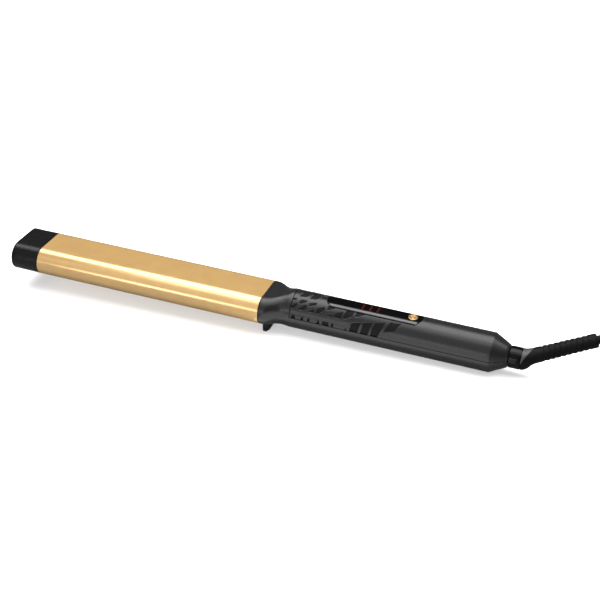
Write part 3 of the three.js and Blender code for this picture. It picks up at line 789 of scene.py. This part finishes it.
def build_neck():
    lip, lip_drop = NECK_START + 0.2, 0.15
    xs = stations((NECK_START, lip, 0.2), (lip, NECK_ROUND, 0.5), (NECK_ROUND, COVER_START - GAP, 0.4))
    outer = [neck_ring(x, 0) for x in xs]
    outer[0] = neck_ring(xs[0], lip_drop)
    inner = [neck_ring(x, NECK_WALL) for x in reversed(xs[::3] + [xs[-1]])]
    return mesh_object("neck", skin(outer + inner, closed=True))


def sole_z(x):
    """The plane that the wand rests on."""
    return -HANDLE_R - (CONE_START - x) * PITCH_SLOPE


FOOT_FRONT, FOOT_HEEL, FOOT_REAR = 160.35, 164.3, 167.9
FOOT_FACE = (161.0, 163.3)
FOOT_HALF, FOOT_HEIGHT = 9.5, 9.0
# Height over the sole, and how far the front and the rear move back there, to round the toe.
FOOT_TOE = [
    (0.0, 0.95, -1.75), (0.12, 0.55, -1.15), (0.4, 0.28, -0.62), (0.85, 0.1, -0.25), (1.5, 0.0, 0.0),
]


def foot_plan(height):
    """The foot's outline at a height over its sole: a wedge with a narrow flat face on each side."""
    heights, fronts, rears = zip(*FOOT_TOE)
    into_front, into_rear = (float(np.interp(height, heights, moves)) for moves in (fronts, rears))
    rear = FOOT_HEEL + (FOOT_REAR - FOOT_HEEL) * height / FOOT_HEIGHT + into_rear
    front, least_gap = FOOT_FRONT + into_front, 0.3
    face_start, face_end = max(FOOT_FACE[0], front + least_gap), min(FOOT_FACE[1], rear - least_gap)
    front_in, face_in, rear_in = 0.45, into_front * 0.4, 1.5
    near = [
        (front, front_in - FOOT_HALF), (face_start, face_in - FOOT_HALF),
        (face_end, face_in - FOOT_HALF), (rear, rear_in - FOOT_HALF),
    ]
    return rounded(mirrored(near), 0.5, 4)


def build_foot():
    rings = []
    for height in [h for h, _, _ in FOOT_TOE] + [4.0, 6.5, FOOT_HEIGHT]:
        rings.append([(x, y, sole_z(x) + height) for x, y in foot_plan(height)])
    foot = mesh_object("foot", skin(rings))
    return cut(foot, skin([neck_ring(x, NECK_WALL) for x in (NECK_START - 1, 164, 167, 170)]))


def build_body():
    outer, inner = half_shell(COVER_START - GAP, CONE_END, upper=False)[0]
    body = mesh_object("handle_lower_shell", wall(outer.tolist(), inner.tolist()))
    for part in (build_neck(), build_foot()):
        combine(body, part, "UNION")
    for x in SCREWS_X.values():
        combine(body, mesh_object("boss", post(x, *LOWER_BOSS)), "UNION")
        cut(body, post(x, *LOWER_HOLE))
        cut(body, post(x, *COUNTERBORE, 48))
    tidy_mesh(body, 40)
    return finish_piece(body, "shell_grey", replaces=["handle_body"])


def build_screws():
    """Pan heads with a cross recess, seen from underneath."""
    low, cross, cross_half, cross_depth = SCREW_HEAD_LOW, 1.35, 0.3, 0.75
    dome = [(0.02, low), (1.2, low + 0.05), (2.1, low + 0.28), (2.45, low + 0.6)]
    dome += [(SCREW_HEAD_R, low + 0.9), (SCREW_HEAD_R, SCREW_HEAD_TOP)]
    shank = [(1.15, SCREW_HEAD_TOP), (1.15, -2.2), (0.3, -1)]
    for name, x in SCREWS_X.items():
        rings = [level_ring(x, z, r, 40) for r, z in dome + shank]
        screw = mesh_object(name + "_steel", skin(rings), creases=40)
        for long, across in ((cross, cross_half), (cross_half, cross)):
            cut(screw, box_shape((x - long, -across, -14), (x + long, across, low + cross_depth)))
        tidy_mesh(screw, 40)
        finish_piece(screw, "steel", replaces=[name])


# ---- control panel ----

TRIM_FRONT, TRIM_REAR, TRIM_INNER, TRIM_OUTER, TRIM_R = 203.4, 261.0, 4.3, 5.75, 12.75
BARS_X = {"indicator_low": 224.5, "indicator_mid": 229.5, "indicator_high": 234.5}
BAR_WIDTH, BAR_LENGTH, BAR_TOP, BAR_BOTTOM = 1.3, 6.1, 12.2, 10.9
BUTTON_X, BUTTON_R, BUTTON_TOP, BUTTON_BOTTOM = 257.0, 3.05, 12.75, 8.6
FLANGE_R, FLANGE_TOP = 3.9, 9.5
BUTTON_DISH, BUTTON_EDGE = 0.22, 0.34
MARK_R, MARK_HALF, MARK_DEPTH, MARK_OPENING = 1.35, 0.16, 0.14, 24
PANEL_SPAN = (PANEL_FRONT - 2, PANEL_REAR + 2)


def roof(low_r, high_r, top):
    """A bar over the panel's length whose section is a band of the handle's round, cut flat at top."""
    half_angle, steps = 45, 60
    angles = [math.radians(90 - half_angle + 2 * half_angle * i / steps) for i in range(steps + 1)]
    upper = [(high_r * math.cos(a), min(high_r * math.sin(a), top)) for a in angles]
    lower = [(low_r * math.cos(a), low_r * math.sin(a)) for a in reversed(angles)]
    return skin([[(x, y, z) for y, z in upper + lower] for x in PANEL_SPAN])


def trim_plan(sign, grow):
    inner, outer = TRIM_INNER - grow, TRIM_OUTER + grow
    plan = [
        (TRIM_FRONT - grow, 4.8), (TRIM_FRONT + 1.0, inner),
        (TRIM_REAR - 0.7, inner), (TRIM_REAR + grow, 4.7),
        (TRIM_REAR + grow, 5.2), (TRIM_REAR - 0.7, outer),
        (TRIM_FRONT + 1.8, outer), (TRIM_FRONT - grow, 5.2),
    ]
    return rounded([(x, sign * y) for x, y in plan], 0.5, 4)


def build_panel():
    groove_clearance, groove_depth, slot_clearance, well_clearance = 0.12, 1.5, 0.1, 0.22
    panel = mesh_object("panel_window", prism(panel_plan(0), *THROUGH_TOP))
    keep_inside(panel, roof(PANEL_INNER_R, PANEL_R, PANEL_TOP))
    for sign in (1, -1):
        groove = mesh_object("groove", prism(trim_plan(sign, groove_clearance), *THROUGH_TOP))
        keep_inside(groove, roof(TRIM_R - groove_depth, 15, 15))
        combine(panel, groove, "DIFFERENCE")
    for x in BARS_X.values():
        cut(panel, prism(bar_plan(x, slot_clearance), *THROUGH_TOP))
    cut(panel, post(BUTTON_X, *THROUGH_TOP, BUTTON_R + well_clearance, 64))
    bevelled(panel, 0.14)
    return finish_piece(panel, "panel_black", replaces=["control_panel"])


# The strips sit on the panel's bevelled long edges. Their lighter metal finish is partly a painted reflection of
# the light that glossy black edge catches.
def build_trims():
    for name, sign in (("panel_trim_far", 1), ("panel_trim_near", -1)):
        trim = mesh_object(name + "_strip", prism(trim_plan(sign, 0), *THROUGH_TOP))
        keep_inside(trim, roof(TRIM_R - 1.2, TRIM_R, 16))
        bevelled(trim, 0.55, 5)
        finish_piece(trim, "trim_silver", replaces=[name])


def bar_plan(x, grow):
    w, l = BAR_WIDTH / 2 + grow, BAR_LENGTH / 2 + grow
    return rounded([(x - w, -l), (x + w, -l), (x + w, l), (x - w, l)], 0.6, 6)


def build_bars():
    for name, x in BARS_X.items():
        bar = mesh_object(name + "_lens", prism(bar_plan(x, 0), BAR_BOTTOM, BAR_TOP))
        bevelled(bar, 0.22, 4)
        finish_piece(bar, "indicator_red", replaces=[name])


def button_height(dx, dy):
    """The cap's height at an offset from its middle: a dish with a rounded edge and the mark."""
    r = math.hypot(dx, dy)
    z = BUTTON_TOP - BUTTON_DISH * (1 - (r / BUTTON_R) ** 2)
    z -= BUTTON_EDGE * (1 - math.sqrt(max(0, 1 - max(0, (r - 2.7) / 0.35) ** 2)))
    opening = smooth((math.degrees(abs(math.atan2(dx, dy))) - MARK_OPENING) / 10)
    ring_cut = opening * smooth((MARK_HALF + 0.06 - abs(r - MARK_R)) / 0.1)
    bar_cut = smooth((MARK_HALF + 0.06 - abs(dx)) / 0.1) * smooth((0.95 - abs(dy - 1.2)) / 0.1)
    return z - MARK_DEPTH * max(ring_cut, bar_cut)


def build_button():
    """A dished cap with the engraved stand-by mark: a ring broken by a bar."""
    segments = 96
    radii = [BUTTON_R * i / 44 for i in range(1, 40)] + [2.78, 2.88, 2.96, 3.02, BUTTON_R]
    rings = []
    for r in radii:
        offsets = [(r * math.cos(a), r * math.sin(a)) for a in full_turn(segments)]
        rings.append([(BUTTON_X + dx, dy, button_height(dx, dy)) for dx, dy in offsets])
    skirt = [(BUTTON_R, FLANGE_TOP), (FLANGE_R, FLANGE_TOP)]
    skirt += [(FLANGE_R, BUTTON_BOTTOM), (0.05, BUTTON_BOTTOM)]
    rings += [level_ring(BUTTON_X, z, r, segments) for r, z in skirt]
    button = mesh_object("power_button_cap", skin(rings), creases=50)
    return finish_piece(button, "button_gold", body="button", replaces=["power_button"])


# ---- swivel ----

COLLAR_END, COLLAR_R, ELBOW_R = 327.2, 7.0, 6.9
RIM_TILT, RIM_OFFSET = math.radians(24), 2.4
SPIGOT_START, JOURNAL_R, LEAD_BORE_R = 284.5, 4.6, 2.4
KEEPER_R, KEEPER_FRONT, KEEPER_REAR = 8, 300, 302.5  # the flange that keeps the spigot in


def build_collar():
    face = CONE_END + GAP
    edge = [(6.45, face), (6.8, face + 0.1), (COLLAR_R, face + 0.45), (COLLAR_R, 323)]
    edge += [(COLLAR_R, COLLAR_END - 0.5), (6.86, COLLAR_END - 0.16), (6.5, COLLAR_END)]
    spigot = [
        (JOURNAL_R, SPIGOT_START), (JOURNAL_R, KEEPER_FRONT), (KEEPER_R, KEEPER_FRONT),
        (KEEPER_R, KEEPER_REAR), (JOURNAL_R, KEEPER_REAR), (JOURNAL_R, face),
    ]
    bore = [(LEAD_BORE_R, COLLAR_END), (LEAD_BORE_R, SPIGOT_START)]
    collar = mesh_object("collar_sleeve", skin(turned(spigot + edge + bore, 96), closed=True), creases=40)
    return finish_piece(collar, "swivel_black", body="swivel", replaces=["swivel_collar"])


def outlet_grid(profile):
    """Rings about the outlet's direction through (radius, distance from the ball's centre) points."""
    up = OUTLET.cross(Vector((0, 1, 0))).normalized()
    side = up.cross(OUTLET)
    spokes = [side * math.cos(a) + up * math.sin(a) for a in full_turn(96)]
    return [[tuple(BALL + OUTLET * t + spoke * r) for spoke in spokes] for r, t in profile]


def past_rim(shift):
    """A block on the cord's side of the boot's rim plane, moved on by shift."""
    across = Vector((0, OUTLET.y, OUTLET.z)).normalized()
    normal = Vector((math.cos(RIM_TILT), 0, 0)) - across * math.sin(RIM_TILT)
    turn = normal.to_track_quat("Z", "Y").to_matrix()
    at = BALL + normal * (RIM_OFFSET + shift)
    points, faces = box_shape((-60, -60, 0), (60, 60, 120))
    return [tuple(turn @ Vector(p) + at) for p in points], faces


def past_collar(gap):
    """A block that takes in everything behind the collar."""
    return box_shape((COLLAR_END + gap, -30, -30), (420, 40, 40))


BALL_TO, BOOT_TO = 3.2, RELIEF_START + 1.5  # where the ball ends, and where the relief's taper begins


def boot_profile():
    """Radius by distance from the ball's centre: the ball, drawn in to the relief."""
    angles = [a + 0.003 for a in quarter_turn(20)[:-1]]
    profile = [(ELBOW_R * math.sin(a), -ELBOW_R * math.cos(a)) for a in angles]
    profile += [(math.sqrt(ELBOW_R ** 2 - t ** 2), t) for t in stations((0, BALL_TO, 0.4))]
    start_r = math.sqrt(ELBOW_R ** 2 - BALL_TO ** 2)
    slope = -BALL_TO / start_r
    span = BOOT_TO - BALL_TO
    for t in stations((BALL_TO, BOOT_TO, 0.35))[1:]:
        u = (t - BALL_TO) / span
        h00, h10, h01 = 2 * u ** 3 - 3 * u ** 2 + 1, u ** 3 - 2 * u ** 2 + u, 3 * u ** 2 - 2 * u ** 3
        profile.append((h00 * start_r + h10 * span * slope + h01 * RELIEF_START_R, t))
    return profile


RIB_PITCH, RIB_GROOVE, GROOVE_DEPTH, RIBS_FROM, RIBS_TO = 3.4, 1.0, 0.38, 12.0, 43.2
RIM_GAP = 0.06  # from the rim's plane to the elbow on one side and the boot on the other


def relief_groove(t):
    """Depth of the shallow grooves between the ribs."""
    if not RIBS_FROM < t < RIBS_TO:
        return 0.0
    from_groove = abs((t - RIBS_FROM) % RIB_PITCH - RIB_PITCH / 2)
    return GROOVE_DEPTH * smooth((RIB_GROOVE / 2 + 0.2 - from_groove) / 0.4)


# The grey dome, cut off at the tilted rim plane, is a painted highlight: the lit part of the dark swivel between
# the collar and the boot.
def build_elbow():
    elbow = mesh_object("elbow_dome_painted_highlight", skin(outlet_grid(boot_profile() + [(4.9, 11)])), creases=40)
    keep_inside(elbow, past_collar(0.12))
    cut(elbow, past_rim(-RIM_GAP))
    bevelled(elbow, 0.08, 2)
    return finish_piece(elbow, "elbow_grey", body="swivel", replaces=["swivel_elbow"])


def build_relief():
    lip_r = 0.9
    taper = stations((BOOT_TO, RELIEF_END - lip_r, 0.2))[1:]
    drop, span = RELIEF_END_R - RELIEF_START_R, RELIEF_END - RELIEF_START
    profile = boot_profile() + [(RELIEF_START_R + drop * (t - RELIEF_START) / span, t) for t in taper]
    for a in quarter_turn(6, first=1):
        profile.append((RELIEF_END_R - lip_r * (1 - math.cos(a)), RELIEF_END - lip_r + lip_r * math.sin(a)))
    socket_r, socket_floor = CORD_D / 2 + 0.12, RELIEF_END - SOCKET_DEPTH
    profile += [(CORD_D / 2 + 0.25, RELIEF_END), (socket_r, RELIEF_END - 0.3)]
    profile += [(socket_r, socket_floor), (0.1, socket_floor)]
    grid = outlet_grid([(r - relief_groove(t), t) for r, t in profile])
    relief = mesh_object("strain_relief_boot", skin(grid), creases=40)
    keep_inside(relief, past_collar(0.3))
    keep_inside(relief, past_rim(RIM_GAP))
    tidy_mesh(relief, 40)
    return finish_piece(relief, "cord_rubber", body="swivel", replaces=["strain_relief"])


# ---- strap and plug, in the row frame ----


def build_tie():
    """A strap round both runs, with its free end laid back over it."""
    low, high, middle, half = row_box("hank_tie")
    thick, corner = 0.5, 5.0
    tail_start, tail_end, tail_inset, tail_thick = -3, 15, 0.4, 0.55
    loop = rounded([(low.y, low.z), (high.y, low.z), (high.y, high.z), (low.y, high.z)], corner, 10)
    band = rounded([(-half.x, 0), (half.x, 0), (half.x, thick), (-half.x, thick)], 0.2, 3)
    rings = []
    for y, z in loop:
        ring = []
        for across, by in band:  # by is how far the point is drawn in from the outside
            inner_y = middle.y + (y - middle.y) * (1 - by / half.y)
            inner_z = middle.z + (z - middle.z) * (1 - by / half.z)
            ring.append((middle.x + across, inner_y, inner_z))
        rings.append(ring)
    tie = mesh_object("hank_strap", skin(rings, closed=True), ROW)
    x0, x1 = low.x + tail_inset, high.x - tail_inset
    tail = box_shape((x0, tail_start, high.z + 0.02), (x1, tail_end, high.z + tail_thick))
    tail = bevelled(mesh_object("strap_tail", tail, ROW), 0.2)
    return [finish_piece(tie, "plug_plastic", replaces=["hank_tie"]), finish_piece(tail, "plug_plastic")]


def build_plug():
    low, _, middle, half = row_box("plug_body")
    wide, tall, cable = half.y, half.z, 5.2
    # from the face with the pins to the cable: distance, half width, half height
    shape = [
        (0.0, wide - 1.0, tall - 1.0), (0.15, wide - 0.55, tall - 0.55), (0.6, wide - 0.15, tall - 0.15),
        (1.2, wide, tall), (6, wide, tall), (9, wide - 0.1, tall - 0.05), (9.7, wide - 0.8, tall - 0.6),
        (10.4, wide - 1.0, tall - 0.7), (14, wide - 2.0, tall - 0.8), (20, wide - 5.3, tall - 1.0),
        (26, wide - 9.2, tall - 1.3), (30, cable + 0.9, tall - 1.7), (31, cable + 0.4, cable + 0.3),
        (33.5, cable, cable), (36.6, cable - 0.3, cable - 0.3), (37.3, cable - 0.8, cable - 0.8),
        (37.6, cable - 1.6, cable - 1.6),
    ]
    rings = []
    for distance, half_y, half_z in shape:
        power = 0.42 if distance < 30.5 else 1.0  # squarish up to the cable
        ring = []
        for a in full_turn(72):
            y, z = (math.copysign(abs(c) ** power, c) for c in (math.cos(a), math.sin(a)))
            ring.append((low.x + distance, middle.y + half_y * y, middle.z + half_z * z))
        rings.append(ring)
    plug = mesh_object("plug_moulding", skin(rings), ROW)
    pieces = [finish_piece(plug, "plug_plastic", replaces=["plug_body"])]
    for node in ("plug_pin_live", "plug_pin_neutral"):
        pieces += build_pin(node, low.x + 1)
    return pieces


def build_pin(node, root):
    """A metal pin with its plastic sleeve, which both end at root, inside the plug."""
    low, _, middle, half = row_box(node)
    r, core, shoulder = half.z, half.z - 0.25, low.x + 9
    tip = [(r * math.sin(a) + 0.01, low.x + r * 0.8 * (1 - math.cos(a))) for a in quarter_turn(8)]
    metal = turned([*tip, (r, shoulder), (core, shoulder + 0.3), (core, root)], 40)
    sleeve = turned([(r - 0.2, shoulder + 0.4), (r, shoulder + 0.55), (r, root), (r - 0.2, root)], 40)
    place = ROW @ Matrix.Translation((0, middle.y, middle.z))
    pin = mesh_object(node + "_metal", skin(metal), place)
    cover = mesh_object(node + "_sleeve", skin(sleeve, closed=True), place)
    return [finish_piece(pin, "pin_metal", replaces=[node]), finish_piece(cover, "plug_plastic")]


# ---- assembly ----

for build in (
    build_tip, build_barrel, build_cover, build_body, build_screws, build_panel, build_trims, build_bars,
    build_button, build_collar, build_elbow,
):
    build()
relief = build_relief()
cord, cord_line = build_cord()
on_cord = [relief, *build_tie(), *build_plug()]
for part in frame["record"]["subparts"]:
    obj = frame["nodes"][part["node"]]
    if not obj.hide_render:
        paint(obj, part["material_slot"])

# ---- floor and light ----

FLOOR_HALF = 3.0
FLOOR_SEEN = (0.90, 0.90, 0.90)  # white to the camera
FLOOR_BOUNCE = (0.20, 0.20, 0.20)  # darker to every other ray, so that it throws less back at the wand
FLOOR_FILL = 1.6
LIGHTS_AIM = 0.012  # height that the soft boxes face
# Soft boxes along X: lower and upper angle over the near horizon, distance, x range, radiance.
SOFT_BOXES = {
    "overhead": (84, 123, 0.8, -0.41, 0.85, 5.4),
    "overhead_end": (88, 117, 0.8, -0.80, -0.41, 4.8),
    "overhead_edge": (62, 84, 0.8, -0.41, 0.85, 2.5),
    "front_fill": (17, 60, 1.2, -0.9, 0.5, 0.6),
    "front_strip": (1, 14, 1.1, -0.66, -0.40, 5.0),
    "front_low": (1, 14, 1.1, -0.40, 0.3, 3.0),
}
# A card that lies in front of the handle and faces up: x range, y range, height, radiance.
FRONT_CARD = (-0.003, 0.168, -0.30, -0.019, 0.0015, 1.35)


def build_floor():
    mesh = bpy.data.meshes.new("floor")
    corners = [(-1, -1), (1, -1), (1, 1), (-1, 1)]
    mesh.from_pydata([(x * FLOOR_HALF, y * FLOOR_HALF, -0.0001) for x, y in corners], [], [(0, 1, 2, 3)])
    floor = show(bpy.data.objects.new("floor", mesh))
    card = Finish("floor_card", FLOOR_BOUNCE, 0.9, specular=0.1).mottled(60, 0.01)
    seen = card.nodes.new("ShaderNodeLightPath").outputs["Is Camera Ray"]
    colour = card.shader.inputs["Base Color"]
    card.links.new(card.mix(seen, colour.links[0].from_socket, FLOOR_SEEN), colour)
    paint(floor, "floor_card")
    return floor


def area_light(name, width, depth, radiance, location, rotation):
    """A rectangular light that the camera doesn't see."""
    data = bpy.data.lights.new(name, "AREA")
    data.shape = "RECTANGLE"
    data.size, data.size_y = width, depth
    data.energy = radiance * math.pi * width * depth
    light = show(bpy.data.objects.new(name, data))
    light.location, light.rotation_euler = location, rotation
    light.visible_camera = False


def soft_box(name, low, high, distance, x0, x1, radiance):
    """A light along X, from x0 to x1, between two angles over the near horizon, facing the wand."""
    a = math.radians((low + high) / 2)
    back = Vector((0, -math.cos(a), math.sin(a)))
    across = back.cross(Vector((1, 0, 0)))
    depth = 2 * distance * math.tan(math.radians(high - low) / 2)
    location = Vector(((x0 + x1) / 2, 0, LIGHTS_AIM)) + back * distance
    rotation = Matrix((Vector((1, 0, 0)), across, back)).transposed().to_euler()
    area_light(name, x1 - x0, depth, radiance, location, rotation)


def floor_fill(floor):
    """Light from above that falls on the floor alone, so that the wand's shadow stays pale."""
    only_floor = bpy.data.collections.new("only_floor")
    only_floor.objects.link(floor)
    data = bpy.data.lights.new("floor_fill", "SUN")
    data.energy = FLOOR_FILL
    light = show(bpy.data.objects.new("floor_fill", data))
    light.light_linking.receiver_collection = only_floor
    light.light_linking.blocker_collection = only_floor


def build_light():
    world = bpy.data.worlds.new("studio")
    world.use_nodes = True
    set_inputs(world.node_tree.nodes["Background"], {"Color": (1, 1, 1, 1), "Strength": 0.15})
    bpy.context.scene.world = world
    for name, shape in SOFT_BOXES.items():
        soft_box(name, *shape)
    x0, x1, y0, y1, height, radiance = FRONT_CARD
    location = ((x0 + x1) / 2, (y0 + y1) / 2, height)
    area_light("front_card", x1 - x0, y1 - y0, radiance, location, (math.pi, 0, 0))
    bpy.context.scene.view_settings.view_transform = "Standard"


floor_fill(build_floor())
build_light()
